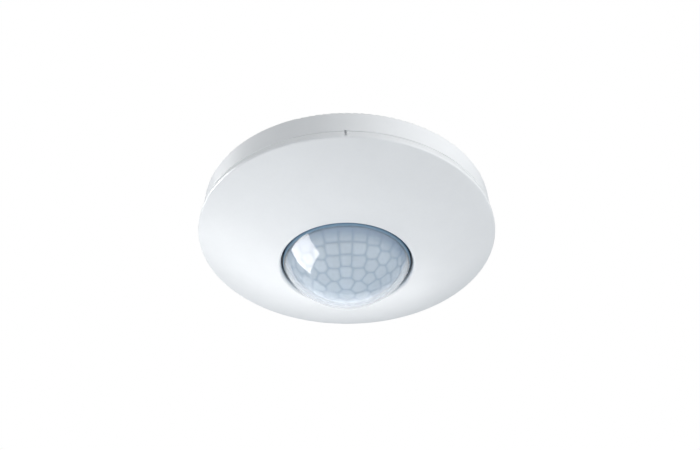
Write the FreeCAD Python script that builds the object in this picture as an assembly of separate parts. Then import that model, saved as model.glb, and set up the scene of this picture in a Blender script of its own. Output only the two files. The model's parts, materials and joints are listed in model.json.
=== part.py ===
import FreeCAD, Part
import math
import os

# Ceiling motion sensor, 360 degree passive-infrared type, for a 60 mm round ceiling box.
# Units are millimetres. +Z points up into the ceiling, z = 0 is the ceiling plane, and the
# Z axis is the axis of the round cover and lens. The lens looks down, towards -Z.

V = FreeCAD.Vector

# ---- Driving dimensions: the visible shell ----
COVER_R = 54.0  # largest radius of the front cover
RIM_Z = -12.2  # height of the cover's widest line
EDGE_R = 0.8  # rounding of the cover's outer edge
EDGE_LAND = 0.25  # short upright band behind the rounded edge
RIM_SLOPE = math.radians(30.5)  # slope of the domed face where it meets the edge
OPENING_SLOPE = math.radians(10.3)  # slope of the domed face at the lens opening
OPENING_R = 23.65  # radius of the opening around the lens
LIP_R = 1.0  # rounding of the opening's lip
COVER_WALL = 2.0
SKIRT_R = 53.3  # radius of the short tapered skirt behind the cover's edge, at its top
SKIRT_TOP = -9.6  # top of the skirt, just below the parting line
PARTING_GAP = 0.25
GROOVE_FLOOR = -11.8  # floor of the groove between the skirt and the bayonet collar

BASE_BACK_R = 52.8  # radius of the base where it meets the ceiling
BASE_FRONT_R = 53.3  # radius of the base at the parting line
BASE_WALL_R = 51.5  # inside of the base's side wall
PLATE_Z = -2.4  # room side of the base's back plate
BASE_BOTTOM = SKIRT_TOP + PARTING_GAP
RIB_COUNT, RIB_DEPTH = 8, 1.6  # ribs on the room side of the back plate
POCKET_R_IN, POCKET_R_OUT, POCKET_DEPTH = 34.5, 46.0, 0.8  # shallow pockets in the ceiling face
WEB_W = 2.4  # webs left between the pockets
KNOCKOUT_W, KNOCKOUT_H, KNOCKOUT_SCORE = 9.0, 5.5, 0.5  # break-out for a surface cable, opposite the mark

# ---- Bayonet between the cover and the base ----
COLLAR_R_IN, COLLAR_R_OUT, COLLAR_TOP = 48.8, 50.2, -4.4
LUG_R, LUG_BOTTOM, LUG_SPAN = 51.2, -5.6, 16.0
LEDGE_R, LEDGE_TOP, LEDGE_BOTTOM, LEDGE_SPAN = 50.4, -5.8, -7.4, 18.0
TWIST = 18.0  # degrees from locked to free
STOP_SPAN = 1.5  # degrees of arc that each end stop takes
LUG_ANGLES = (45.0, 135.0, 225.0, 315.0)

# ---- Lens ----
LENS_R = 25.7  # radius of the sphere of the lens
LENS_CENTRE_Z = -11.1
LENS_WALL = 1.0
LENS_COLLAR_R = 22.9
LENS_FLANGE_R, LENS_FLANGE_TOP, LENS_FLANGE_BOTTOM = 26.0, -18.1, -19.3

# ---- Sensor chassis, inside the cover ----
DECK_TOP, DECK_BOTTOM, DECK_R = -11.5, -13.0, 46.0
TOWER_R_IN, TOWER_R_OUT = 22.5, 27.4
BOSS_RING_R, BOSS_R = 40.5, 3.2
BOSS_ANGLES = (30.0, 150.0, 270.0)
BOARD_TOP, BOARD_BOTTOM, BOARD_R = -7.0, -8.6, 36.0
STANDOFF_RING_R, STANDOFF_R = 30.5, 2.4
STANDOFF_ANGLES = (45.0, 165.0, 285.0)
ADJUSTER_RING_R = 32.8
LUX_ANGLE, TIME_ANGLE, BUTTON_ANGLE = 215.0, 325.0, 90.0
ACCESS_R = 4.2  # screwdriver holes over the two ceiling screws
FIT = 0.05  # gap left between parts that sit face to face
ROOT = 0.3  # how far ribs, ledges and bosses run into the wall they grow from
PILOT_R = 1.0  # holes that self-tapping screws cut their thread in

# ---- Power section, inside the ceiling box ----
CUP_R, CUP_WALL, CUP_TOP = 25.0, 1.5, 20.5
CUP_INNER_R, CUP_INNER_TOP = CUP_R - CUP_WALL, CUP_TOP - CUP_WALL
CUP_BOTTOM = PLATE_Z
CUP_HOLE_R = 25.4  # hole in the base that the cup passes through
POWER_COVER_TOP, POWER_COVER_BOTTOM = PLATE_Z - FIT, PLATE_Z - 1.55
POWER_BOARD_BOTTOM, POWER_BOARD_TOP, POWER_BOARD_R = 0.2, 1.8, 23.0
ON_BOARD = POWER_BOARD_TOP + FIT  # where components stand on the power board
CUP_BOSS_X, CUP_BOSS_R = 21.2, 2.5
LABEL_W, LABEL_H, LABEL_Y, LABEL_DEPTH = 26.0, 15.0, -9.0, 0.3  # recess for the rating label, left blank
GAUGE_LENGTH, GAUGE_X = 9.0, 16.5  # moulded gauge that shows how much wire to strip
LUG_SCREW_Y = 29.5
LINK_Y = -18.6  # row of pins that joins the two boards
PIN_PITCH, PIN_HALF, LINK_PINS = 2.54, 0.32, 5
PIN_TIP, HEADER_BOTTOM, SOCKET_TOP = -6.4, -2.3, -2.75  # heights of the row's pin tips, strip and socket
TONGUE_R, SCREW_CLEAR = 4.4, 1.35  # lugs of the power cover, and its screw holes

# ---- Ceiling fixing: two slots for the screws of a 60 mm box ----
BOX_PITCH, SLOT_W, SLOT_L = 60.0, 4.0, 6.0

# ---- Mains terminals ----
POLE_XS = (-7.5, -2.5, 2.5, 7.5)
BLOCK_X, BLOCK_Y0, BLOCK_Y1 = 10.4, 9.6, 18.8
BLOCK_TOP = CUP_INNER_TOP - 0.1
BUTTON_Y, BUTTON_SIDE, BUTTON_TRAVEL = 12.1, 2.8, 1.5
BUTTON_TOP = CUP_TOP + 0.4 + BUTTON_TRAVEL  # a pressed button still stands a little proud
WIRE_Y, WIRE_R = 16.6, 1.6

# ---- Relay ----
RELAY_X, RELAY_Y0, RELAY_Y1, RELAY_TOP = 14.5, -4.2, 8.5, 17.4
RELAY_Y = (RELAY_Y0 + RELAY_Y1) / 2
RELAY_WALL = 0.7
RELAY_FLOOR = 3.7
COIL_Z, COIL_R, BOBBIN_HALF = 10.2, 4.1, 4.6
PIVOT_X, PIVOT_Z = 5.35, 4.6  # edge that the armature rocks on
SPRING_X, SPRING_Z = 10.5, 4.1  # root of the moving contact spring


# ------------------------------------------------------------------ helpers
def polar(radius, degrees):
    """Point on a circle round the Z axis."""
    a = math.radians(degrees)
    return radius * math.cos(a), radius * math.sin(a)


def box(x0, x1, y0, y1, z0, z1):
    return Part.makeBox(x1 - x0, y1 - y0, z1 - z0, V(x0, y0, z0))


def rod(radius, z0, z1, x=0.0, y=0.0):
    return Part.makeCylinder(radius, z1 - z0, V(x, y, z0))


def rod_x(radius, x0, x1, y, z):
    return Part.makeCylinder(radius, x1 - x0, V(x0, y, z), V(1, 0, 0))


def rod_y(radius, y0, y1, x, z):
    return Part.makeCylinder(radius, y1 - y0, V(x, y0, z), V(0, 1, 0))


def tube(r_out, r_in, z0, z1, x=0.0, y=0.0):
    return rod(r_out, z0, z1, x, y).cut(rod(r_in, z0 - 1, z1 + 1, x, y))


def rounded_box(x0, x1, y0, y1, z0, z1, radius):
    """Box with its four upright edges rounded."""
    solid = box(x0, x1, y0, y1, z0, z1)
    upright = [e for e in solid.Edges if abs(e.Vertexes[0].X - e.Vertexes[-1].X) < 1e-6
               and abs(e.Vertexes[0].Y - e.Vertexes[-1].Y) < 1e-6]
    return solid.makeFillet(radius, upright)


def round_edges(shape):
    return [e for e in shape.Edges if isinstance(e.Curve, Part.Circle)]


def turned(start, *steps):
    """Solid of revolution round Z. A step is a point (r, z), or (middle, end) for an arc."""
    edges, here = [], V(start[0], 0, start[1])
    for step in steps:
        if isinstance(step[0], tuple):
            (mr, mz), (er, ez) = step
            end = V(er, 0, ez)
            edges.append(Part.Arc(here, V(mr, 0, mz), end).toShape())
        else:
            end = V(step[0], 0, step[1])
            edges.append(Part.makeLine(here, end))
        here = end
    edges.append(Part.makeLine(here, V(start[0], 0, start[1])))
    face = Part.Face(Part.Wire(edges))
    return face.revolve(V(0, 0, 0), V(0, 0, 1), 360)


def on_arc(centre, radius, degrees):
    """Point of a profile arc, at an angle from the +r direction towards +z."""
    a = math.radians(degrees)
    return centre[0] + radius * math.cos(a), centre[1] + radius * math.sin(a)


def sector(r_in, r_out, z0, z1, middle_deg, span_deg):
    """Piece of a ring, centred on an angle."""
    wedge = Part.makeCylinder(r_out, z1 - z0, V(0, 0, z0), V(0, 0, 1), span_deg)
    wedge = wedge.cut(rod(r_in, z0 - 1, z1 + 1))
    wedge.rotate(V(0, 0, 0), V(0, 0, 1), middle_deg - span_deg / 2)
    return wedge


def spun(shape, degrees, centre=(0, 0)):
    """Copy of a shape, turned about an upright line."""
    copy = shape.copy()
    copy.rotate(V(centre[0], centre[1], 0), V(0, 0, 1), degrees)
    return copy


def joined(*shapes):
    """One solid from shapes that overlap."""
    return shapes[0].multiFuse(list(shapes[1:])).removeSplitter()


def without(shape, *tools):
    for tool in tools:
        shape = shape.cut(tool)
    return shape


def group(shapes):
    """Separate solids that share one node."""
    return Part.makeCompound(shapes)


def slot_hole(x, y, length, width, z0, z1):
    """Cutter for a slot along X with round ends."""
    reach = (length - width) / 2
    return joined(
        rod(width / 2, z0, z1, x - reach, y),
        rod(width / 2, z0, z1, x + reach, y),
        box(x - reach, x + reach, y - width / 2, y + width / 2, z0, z1),
    )


def screw(x, y, head_z, tip_z, head_r=2.4, shank_r=1.1):
    """Self-tapping pan-head screw, driven upwards, or downwards if tip_z is below head_z."""
    up = 1 if tip_z > head_z else -1
    head_h = 1.4
    profile = turned(
        (0, 0),
        (head_r - 0.5, 0),
        ((head_r - 0.12, 0.25), (head_r, 0.7)),
        (head_r, head_h),
        (shank_r, head_h),
        (shank_r, abs(tip_z - head_z) + head_h - 1.2),
        (0.25, abs(tip_z - head_z) + head_h),
        (0, abs(tip_z - head_z) + head_h),
    )
    arm, wide, deep = head_r * 0.58, 0.32, 0.8
    cross = joined(box(-arm, arm, -wide, wide, -0.1, deep), box(-wide, wide, -arm, arm, -0.1, deep))
    body = profile.cut(cross)
    if up < 0:
        body.rotate(V(0, 0, 0), V(1, 0, 0), 180)
    body.translate(V(x, y, head_z - up * head_h))
    return body


# ------------------------------------------------------------------ visible shell
def face_circle():
    """Centre and radius of the arc that the cover's domed face follows, and its two end points."""
    rim = (COVER_R - EDGE_R + EDGE_R * math.sin(RIM_SLOPE), RIM_Z - EDGE_R * math.cos(RIM_SLOPE))
    lens_r = OPENING_R + LIP_R + LIP_R * math.sin(OPENING_SLOPE)
    radius = (rim[0] - lens_r) / (math.sin(RIM_SLOPE) - math.sin(OPENING_SLOPE))
    centre = (rim[0] - radius * math.sin(RIM_SLOPE), rim[1] + radius * math.cos(RIM_SLOPE))
    lens = (lens_r, centre[1] - radius * math.cos(OPENING_SLOPE))
    return centre, radius, rim, lens


def face_z(r, inset=0.0):
    """Height of the cover's face at a radius, or of the surface inset behind it."""
    centre, radius, _, _ = face_circle()
    return centre[1] - math.sqrt((radius - inset) ** 2 - (r - centre[0]) ** 2)


def alignment_mark(z0, z1, wall_r):
    """A raised rib with a groove beside it, on the side wall: (rib, groove cutter)."""
    rib = box(0.0, 0.6, -wall_r - 0.3, -wall_r + 0.5, z0, z1)
    groove = box(-0.75, 0.0, -wall_r - 1.0, -wall_r + 0.55, z0 - 0.01, z1 + 0.01)
    return rib, groove


def front_cover():
    _, _, rim, lens = face_circle()
    lip_centre = (OPENING_R + LIP_R, lens[1] + LIP_R * math.cos(OPENING_SLOPE))
    edge_centre = (COVER_R - EDGE_R, RIM_Z)
    mid_r = (rim[0] + lens[0]) / 2
    inner_start, inner_end = COLLAR_R_IN, OPENING_R + 1.2
    mid_inner = (inner_start + inner_end) / 2
    land_top = RIM_Z + EDGE_LAND
    shell = turned(
        (OPENING_R, lip_centre[1]),
        (on_arc(lip_centre, LIP_R, 225), lens),
        ((mid_r, face_z(mid_r)), rim),
        (on_arc(edge_centre, EDGE_R, -30), (COVER_R, RIM_Z)),
        (COVER_R, land_top),
        (SKIRT_R, SKIRT_TOP),
        (BASE_WALL_R + 0.1, SKIRT_TOP),
        (BASE_WALL_R + 0.1, GROOVE_FLOOR),
        (COLLAR_R_OUT, GROOVE_FLOOR),
        (COLLAR_R_OUT, COLLAR_TOP),
        (COLLAR_R_IN, COLLAR_TOP),
        (inner_start, face_z(inner_start, COVER_WALL)),
        ((mid_inner, face_z(mid_inner, COVER_WALL)), (inner_end, face_z(inner_end, COVER_WALL))),
        (OPENING_R, face_z(inner_end, COVER_WALL)),
    )
    lugs = [sector(COLLAR_R_OUT - 0.4, LUG_R, LUG_BOTTOM, COLLAR_TOP, a, LUG_SPAN) for a in LUG_ANGLES]
    rib, groove = alignment_mark(land_top, SKIRT_TOP, SKIRT_R)
    return joined(shell, *lugs, rib).cut(groove)


def base_shell():
    """Back plate and side wall."""
    chamfer, back_round = 0.25, 0.5
    back_centre = (BASE_BACK_R - back_round, -back_round)
    return turned(
        (CUP_HOLE_R, 0),
        (back_centre[0], 0),
        (on_arc(back_centre, back_round, 45), (BASE_BACK_R, -back_round)),
        (BASE_FRONT_R, BASE_BOTTOM + chamfer),
        (BASE_FRONT_R - chamfer, BASE_BOTTOM),
        (BASE_WALL_R, BASE_BOTTOM),
        (BASE_WALL_R, PLATE_Z),
        (CUP_HOLE_R, PLATE_Z),
    )


def base_ledges():
    """Ledges that the cover's lugs slide over, with a stop at each end of the twist."""
    pieces, root_r = [], BASE_WALL_R + ROOT
    for a in LUG_ANGLES:
        pieces.append(sector(LEDGE_R, root_r, LEDGE_BOTTOM, LEDGE_TOP, a, LEDGE_SPAN))
        locked_stop = a + LEDGE_SPAN / 2 + STOP_SPAN / 2
        free_stop = a - TWIST - LUG_SPAN / 2 - STOP_SPAN
        for stop in (locked_stop, free_stop):
            pieces.append(sector(LEDGE_R, root_r, LEDGE_BOTTOM, COLLAR_TOP, stop, STOP_SPAN))
    return pieces


def base_ribs():
    rib = box(POCKET_R_IN, BASE_WALL_R + ROOT, -0.6, 0.6, PLATE_Z - RIB_DEPTH, PLATE_Z + ROOT)
    step = 360 / RIB_COUNT
    return [spun(rib, step * (k + 0.5)) for k in range(RIB_COUNT)]


def ceiling_face_pockets():
    """Ring of shallow pockets, separated by radial webs."""
    ring = tube(POCKET_R_OUT, POCKET_R_IN, -POCKET_DEPTH, 1)
    web = box(POCKET_R_IN - 1, POCKET_R_OUT + 1, -WEB_W / 2, WEB_W / 2, -1, 1)
    step = 360 / RIB_COUNT
    return without(ring, *[spun(web, step * k) for k in range(RIB_COUNT)])


def knockout_groove():
    """Score line round the break-out in the side wall, open to the ceiling face."""
    half, depth = KNOCKOUT_W / 2, 0.4
    y0, y1 = BASE_BACK_R - depth, BASE_FRONT_R + 1
    frame = box(-half, half, y0, y1, -KNOCKOUT_H, 1)
    panel = box(-half + KNOCKOUT_SCORE, half - KNOCKOUT_SCORE, y0 - 1, y1, -KNOCKOUT_H + KNOCKOUT_SCORE, 1)
    return frame.cut(panel)


def mounting_base():
    bosses = [rod(BOSS_R, DECK_TOP + FIT, PLATE_Z + ROOT, *polar(BOSS_RING_R, a)) for a in BOSS_ANGLES]
    rib, groove = alignment_mark(BASE_BOTTOM, BASE_BOTTOM + 0.5, BASE_FRONT_R)
    body = joined(base_shell(), *base_ledges(), *base_ribs(), *bosses, rib)
    holes = [groove, ceiling_face_pockets(), knockout_groove()]
    holes += [rod(PILOT_R, DECK_TOP - 1, DECK_TOP + 7.5, *polar(BOSS_RING_R, a)) for a in BOSS_ANGLES]
    for side in (-1, 1):
        holes.append(slot_hole(side * BOX_PITCH / 2, 0, SLOT_L, SLOT_W, PLATE_Z - 1, 1))
        holes.append(rod(PILOT_R, PLATE_Z - 1, 1, 0, side * LUG_SCREW_Y))
    return without(body, *holes)


def fresnel_lens():
    collar_bottom = LENS_CENTRE_Z - math.sqrt(LENS_R ** 2 - LENS_COLLAR_R ** 2)
    inner_r = LENS_R - LENS_WALL
    inner_collar = LENS_COLLAR_R - LENS_WALL
    inner_bottom = LENS_CENTRE_Z - math.sqrt(inner_r ** 2 - inner_collar ** 2)
    centre = (0.0, LENS_CENTRE_Z)
    return turned(
        (0, LENS_CENTRE_Z - LENS_R),
        (on_arc(centre, LENS_R, -60), (LENS_COLLAR_R, collar_bottom)),
        (LENS_COLLAR_R, LENS_FLANGE_BOTTOM),
        (LENS_FLANGE_R, LENS_FLANGE_BOTTOM),
        (LENS_FLANGE_R, LENS_FLANGE_TOP),
        (inner_collar, LENS_FLANGE_TOP),
        (inner_collar, inner_bottom),
        (on_arc(centre, inner_r, -60), (0, LENS_CENTRE_Z - inner_r)),
    )


def lens_retainer():
    """Ring that snaps round the chassis tower and traps the lens flange."""
    lip_top = LENS_FLANGE_BOTTOM - FIT
    top, bottom, outer = DECK_BOTTOM - 0.2, lip_top - 1.0, TOWER_R_OUT + 1.2
    ring = turned(
        (LENS_COLLAR_R + 0.2, lip_top),
        (LENS_COLLAR_R + 0.2, bottom),
        (outer - 0.5, bottom),
        (on_arc((outer - 0.5, bottom + 0.5), 0.5, -45), (outer, bottom + 0.5)),
        (outer, top),
        (TOWER_R_OUT + 0.15, top),
        (TOWER_R_OUT + 0.15, lip_top),
    )
    hooks = [sector(TOWER_R_OUT - 0.25, TOWER_R_OUT + 0.5, top - 1.1, top, a, 14) for a in (0, 120, 240)]
    return joined(ring, *hooks)


def sensor_chassis():
    """Inner deck that carries the sensor board, the adjusters and the lens tower."""
    seat = LENS_FLANGE_TOP + FIT
    shell = turned(
        (TOWER_R_IN, DECK_TOP),
        (DECK_R, DECK_TOP),
        (DECK_R, DECK_BOTTOM),
        (TOWER_R_OUT, DECK_BOTTOM),
        (TOWER_R_OUT, LENS_FLANGE_BOTTOM),
        (LENS_FLANGE_R + 0.15, LENS_FLANGE_BOTTOM),
        (LENS_FLANGE_R + 0.15, seat),
        (TOWER_R_IN, seat),
    )
    wall = tube(DECK_R, DECK_R - 1.4, DECK_BOTTOM, DECK_TOP + 2.0)
    standoffs = []
    for a in STANDOFF_ANGLES:
        standoffs.append(rod(STANDOFF_R, DECK_TOP - 0.5, BOARD_BOTTOM - FIT, *polar(STANDOFF_RING_R, a)))
    shell = joined(shell, wall, *standoffs)
    snap_groove = tube(TOWER_R_OUT + 1, TOWER_R_OUT - 0.4, DECK_BOTTOM - 1.4, DECK_BOTTOM - 0.1)
    holes = [snap_groove]
    holes += [rod(0.8, DECK_BOTTOM + 0.6, -5, *polar(STANDOFF_RING_R, a)) for a in STANDOFF_ANGLES]
    holes += [rod(1.5, DECK_BOTTOM - 1, DECK_TOP + 1, *polar(BOSS_RING_R, a)) for a in BOSS_ANGLES]
    for angle, radius in ((LUX_ANGLE, 3.6), (TIME_ANGLE, 3.6), (BUTTON_ANGLE, 2.2)):
        holes.append(rod(radius, DECK_BOTTOM - 1, DECK_TOP + 1, *polar(ADJUSTER_RING_R, angle)))
    for side in (-1, 1):
        holes.append(rod(ACCESS_R, DECK_BOTTOM - 1, DECK_TOP + 1, side * BOX_PITCH / 2, 0))
    for angle in (LUX_ANGLE, TIME_ANGLE):
        x, y = polar(ADJUSTER_RING_R, angle)
        for tick in range(-135, 136, 27):
            mark = box(4.2, 5.4, -0.15, 0.15, DECK_BOTTOM - 0.1, DECK_BOTTOM + 0.25)
            mark.translate(V(x, y, 0))
            holes.append(spun(mark, angle + tick, (x, y)))
    return without(shell, *holes)


def chassis_screws():
    return group([
        screw(*polar(BOSS_RING_R, a), DECK_BOTTOM - FIT, DECK_TOP + 6.5, shank_r=0.95) for a in BOSS_ANGLES
    ])


# ------------------------------------------------------------------ sensor board
def sensor_board():
    board = rod(BOARD_R, BOARD_BOTTOM, BOARD_TOP)
    holes = [rod(0.9, BOARD_BOTTOM - 1, BOARD_TOP + 1, *polar(STANDOFF_RING_R, a)) for a in STANDOFF_ANGLES]
    holes += [rod(0.35, BOARD_BOTTOM - 1, BOARD_TOP + 1, *polar(2.54, a)) for a in (90, 210, 330)]
    holes += [rod(ACCESS_R, BOARD_BOTTOM - 1, BOARD_TOP + 1, side * BOX_PITCH / 2, 0) for side in (-1, 1)]
    return without(board, *holes)


def board_screws():
    return group([
        screw(*polar(STANDOFF_RING_R, a), BOARD_TOP + FIT, DECK_TOP - 0.4, head_r=1.9, shank_r=0.75)
        for a in STANDOFF_ANGLES
    ])


PIR_TOP, PIR_FACE, PIR_R = BOARD_BOTTOM - FIT, BOARD_BOTTOM - 4.3, 4.2
PIR_WINDOW_X, PIR_WINDOW_Y = 2.6, 1.9


def pir_can():
    can = turned(
        (0, PIR_TOP),
        (4.7, PIR_TOP),
        (4.7, PIR_TOP - 0.5),
        (PIR_R, PIR_TOP - 0.5),
        (PIR_R, PIR_FACE + 0.4),
        (on_arc((PIR_R - 0.4, PIR_FACE + 0.4), 0.4, -45), (PIR_R - 0.4, PIR_FACE)),
        (0, PIR_FACE),
    )
    tab = box(4.2, 5.5, -0.45, 0.45, PIR_TOP - 0.4, PIR_TOP)
    tab = spun(tab, 45)
    opening = box(-PIR_WINDOW_X, PIR_WINDOW_X, -PIR_WINDOW_Y, PIR_WINDOW_Y, PIR_FACE - 1, PIR_FACE + 0.6)
    return joined(can, tab).cut(opening)


def pir_window():
    x, y = PIR_WINDOW_X - 0.03, PIR_WINDOW_Y - 0.03
    return rounded_box(-x, x, -y, y, PIR_FACE + 0.05, PIR_FACE + 0.55, 0.2)


def pir_leads():
    return group([rod(0.23, PIR_TOP + 0.02, BOARD_TOP + 1.3, *polar(2.54, a)) for a in (90, 210, 330)])


def light_sensor():
    """Flat photodiode that measures daylight through the lens."""
    x, y = 10.5, 4.0
    body = rounded_box(x - 2.2, x + 2.2, y - 2.0, y + 2.0, BOARD_BOTTOM - 1.6, BOARD_BOTTOM - FIT, 0.3)
    well = rod(1.3, BOARD_BOTTOM - 2, BOARD_BOTTOM - 1.2, x, y)
    return body.cut(well)


def status_led():
    x, y, base = -10.5, 4.0, BOARD_BOTTOM - FIT
    flange_z, dome_z, r = base - 1.0, base - 3.8, 1.5
    led = turned(
        (0, base), (1.9, base), (1.9, flange_z), (r, flange_z), (r, dome_z),
        (on_arc((0, dome_z), r, -45), (0, dome_z - r)),
    )
    led.translate(V(x, y, 0))
    return led


def remote_receiver():
    """Infrared remote receiver: block with a domed window towards the room."""
    base, x, y = BOARD_BOTTOM - FIT, 0.0, -11.5
    body = rounded_box(x - 3.0, x + 3.0, y - 2.4, y + 2.4, base - 3.2, base, 0.3)
    dome = Part.makeSphere(2.2, V(x, y, base - 2.4))
    return joined(body, dome.common(box(x - 3, x + 3, y - 3, y + 3, base - 5, base - 1)))


def gull_leg(x, y, z):
    """Bent lead of a surface-mount chip: a foot that points along +X, and a shoulder."""
    half, reach, thick, tall = 0.15, 0.9, 0.2, 0.7
    foot = box(x, x + reach, y - half, y + half, z, z + thick)
    shoulder = box(x - half, x + half, y - half, y + half, z, z + tall)
    return joined(foot, shoulder)


CHIP_X, CHIP_Y, CHIP_HALF = -12.0, 14.0, 3.5


def controller_chip():
    z = BOARD_TOP + 0.15
    half = CHIP_HALF - 0.18
    body = rounded_box(CHIP_X - half, CHIP_X + half, CHIP_Y - half, CHIP_Y + half, z, z + 1.2, 0.25)
    return body.cut(rod(0.4, z + 1.1, z + 1.5, CHIP_X - 2.4, CHIP_Y + 2.4))


def controller_legs():
    """The same row of legs along each of the four sides."""
    z, pitch, per_side = BOARD_TOP + 0.02, 0.8, 8
    first_y = CHIP_Y - (per_side - 1) / 2 * pitch
    row = [gull_leg(CHIP_X + CHIP_HALF, first_y + k * pitch, z) for k in range(per_side)]
    return group([spun(leg, 90 * turn, (CHIP_X, CHIP_Y)) for turn in range(4) for leg in row])


def sensor_board_parts():
    """Small surface-mount resistors and capacitors beside the chip."""
    z, half_x, half_y, pitch_x, pitch_y = BOARD_TOP + 0.02, 1.0, 0.6, 4.2, 3.2
    heights = (0.6, 0.8, 0.6)  # the middle row is thicker
    parts = []
    for column in range(5):
        for row, height in enumerate(heights):
            x, y = 4.0 + pitch_x * column, 12.0 + pitch_y * row
            parts.append(rounded_box(x - half_x, x + half_x, y - half_y, y + half_y, z, z + height, 0.12))
    return group(parts)


def potentiometer(angle):
    x, y = polar(ADJUSTER_RING_R, angle)
    z0, z1 = BOARD_BOTTOM - 1.8, BOARD_BOTTOM - FIT
    body = rounded_box(x - 3.0, x + 3.0, y - 3.2, y + 3.2, z0, z1, 0.4)
    return body.cut(rod(1.3, z0 - 1, z1 - 0.5, x, y))


def dial(angle):
    """Screwdriver-slotted adjuster with a pointer; its spindle turns in the potentiometer."""
    x, y = polar(ADJUSTER_RING_R, angle)
    top, flange, face = BOARD_BOTTOM - 2.0, DECK_TOP + 0.15, DECK_BOTTOM - 2.0
    body = turned(
        (0, BOARD_BOTTOM - 0.8),
        (1.25, BOARD_BOTTOM - 0.8),
        (1.25, top),
        (4.2, top),
        (4.2, flange),
        (3.4, flange),
        (3.4, face + 0.4),
        (on_arc((3.0, face + 0.4), 0.4, -45), (3.0, face)),
        (0, face),
    )
    slot = box(-2.4, 2.4, -0.5, 0.5, face - 1, face + 1.2)
    pointer = box(2.4, 3.6, -0.25, 0.25, face - 1, face + 0.7)
    body = without(body, slot, pointer)
    body.rotate(V(0, 0, 0), V(0, 0, 1), angle)
    body.translate(V(x, y, 0))
    return body


SWITCH_FACE = BOARD_BOTTOM - 1.6


def program_switch():
    x, y = polar(ADJUSTER_RING_R, BUTTON_ANGLE)
    return rounded_box(x - 3.0, x + 3.0, y - 3.0, y + 3.0, SWITCH_FACE, BOARD_BOTTOM - FIT, 0.3)


def program_button():
    """Plunger that a fingertip presses through the deck; it travels 0.3 mm to the switch."""
    x, y = polar(ADJUSTER_RING_R, BUTTON_ANGLE)
    head, flange, face = SWITCH_FACE - 0.35, SWITCH_FACE - 0.95, DECK_BOTTOM - 1.6
    body = turned(
        (0, head), (3.0, head), (3.0, flange), (2.0, flange), (2.0, face + 0.5),
        (on_arc((1.5, face + 0.5), 0.5, -45), (1.5, face)), (0, face),
    )
    body.translate(V(x, y, 0))
    return body


def link_pin_xs():
    return [(k - (LINK_PINS - 1) / 2) * PIN_PITCH for k in range(LINK_PINS)]


def square_pins(half, z0, z1):
    """Row of square pins, or the cutters for their holes."""
    return [box(x - half, x + half, LINK_Y - half, LINK_Y + half, z0, z1) for x in link_pin_xs()]


def link_socket():
    z0, z1, length = BOARD_TOP + 0.03, SOCKET_TOP, LINK_PINS * PIN_PITCH + 0.5
    body = box(-length / 2, length / 2, LINK_Y - 1.6, LINK_Y + 1.6, z0, z1)
    return without(body, *square_pins(PIN_HALF + 0.13, z0 + 0.3, z1 + 1))


def link_header():
    """Pin strip under the power board that plugs into the sensor board's socket."""
    length = LINK_PINS * PIN_PITCH
    half, top = 1.25, POWER_BOARD_BOTTOM - FIT
    strip = box(-length / 2, length / 2, LINK_Y - half, LINK_Y + half, HEADER_BOTTOM, top)
    return without(strip, *square_pins(PIN_HALF + 0.01, HEADER_BOTTOM - 1, POWER_BOARD_TOP))


def link_pins():
    return group(square_pins(PIN_HALF, PIN_TIP, POWER_BOARD_TOP + 1.0))


# ------------------------------------------------------------------ power section
def button_opening(x, side, z0, z1):
    return box(x - side / 2, x + side / 2, BUTTON_Y - side / 2, BUTTON_Y + side / 2, z0, z1)


def cup_shell():
    round_r = 1.2
    return turned(
        (CUP_INNER_R, CUP_BOTTOM),
        (CUP_R, CUP_BOTTOM),
        (CUP_R, CUP_TOP - round_r),
        (on_arc((CUP_R - round_r, CUP_TOP - round_r), round_r, 45), (CUP_R - round_r, CUP_TOP)),
        (0, CUP_TOP),
        (0, CUP_INNER_TOP),
        (CUP_INNER_R, CUP_INNER_TOP),
    )


def cup_bosses():
    """Two screw bosses, each with a web to the wall."""
    pieces, top = [], 9.0
    for side in (-1, 1):
        web_x = side * (CUP_INNER_R - 0.5)
        pieces.append(rod(CUP_BOSS_R, CUP_BOTTOM, top, side * CUP_BOSS_X, 0))
        pieces.append(box(web_x - 0.9, web_x + 0.9, -1.2, 1.2, CUP_BOTTOM, top))
    return pieces


def cup_ribs():
    """Six ribs inside that hold the board down, and twelve grip flutes outside."""
    rib = box(CUP_INNER_R - 1.4, CUP_INNER_R + 0.4, -0.6, 0.6, ON_BOARD, ON_BOARD + 4.45)
    flute = rod(0.45, 2.0, 17.5, CUP_R, 0)
    return [spun(rib, 30 + 60 * k) for k in range(6)] + [spun(flute, 15 + 30 * k) for k in range(12)]


def pole_dividers():
    """Low walls between the release buttons."""
    pieces, half = [], 0.4
    for left, right in zip(POLE_XS, POLE_XS[1:]):
        x = (left + right) / 2
        pieces.append(box(x - half, x + half, BLOCK_Y0 + 0.6, BLOCK_Y1 - 0.4, CUP_TOP - 0.5, CUP_TOP + 1.2))
    return pieces


def strip_gauge():
    """Raised bar with a foot at each end, as long as the bare end of a wire should be."""
    y0, y1 = WIRE_Y - GAUGE_LENGTH, WIRE_Y
    z0, z1, wide = CUP_TOP - 0.5, CUP_TOP + 0.4, 0.5
    bar = box(GAUGE_X - wide / 2, GAUGE_X + wide / 2, y0, y1, z0, z1)
    feet = [box(GAUGE_X - 1.2, GAUGE_X + 1.2, y, y + wide, z0, z1) for y in (y0, y1 - wide)]
    return joined(bar, *feet)


def label_recess():
    half_w, half_h, corner = LABEL_W / 2, LABEL_H / 2, 1.0
    floor, above = CUP_TOP - LABEL_DEPTH, CUP_TOP + 1
    return rounded_box(-half_w, half_w, LABEL_Y - half_h, LABEL_Y + half_h, floor, above, corner)


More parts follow.
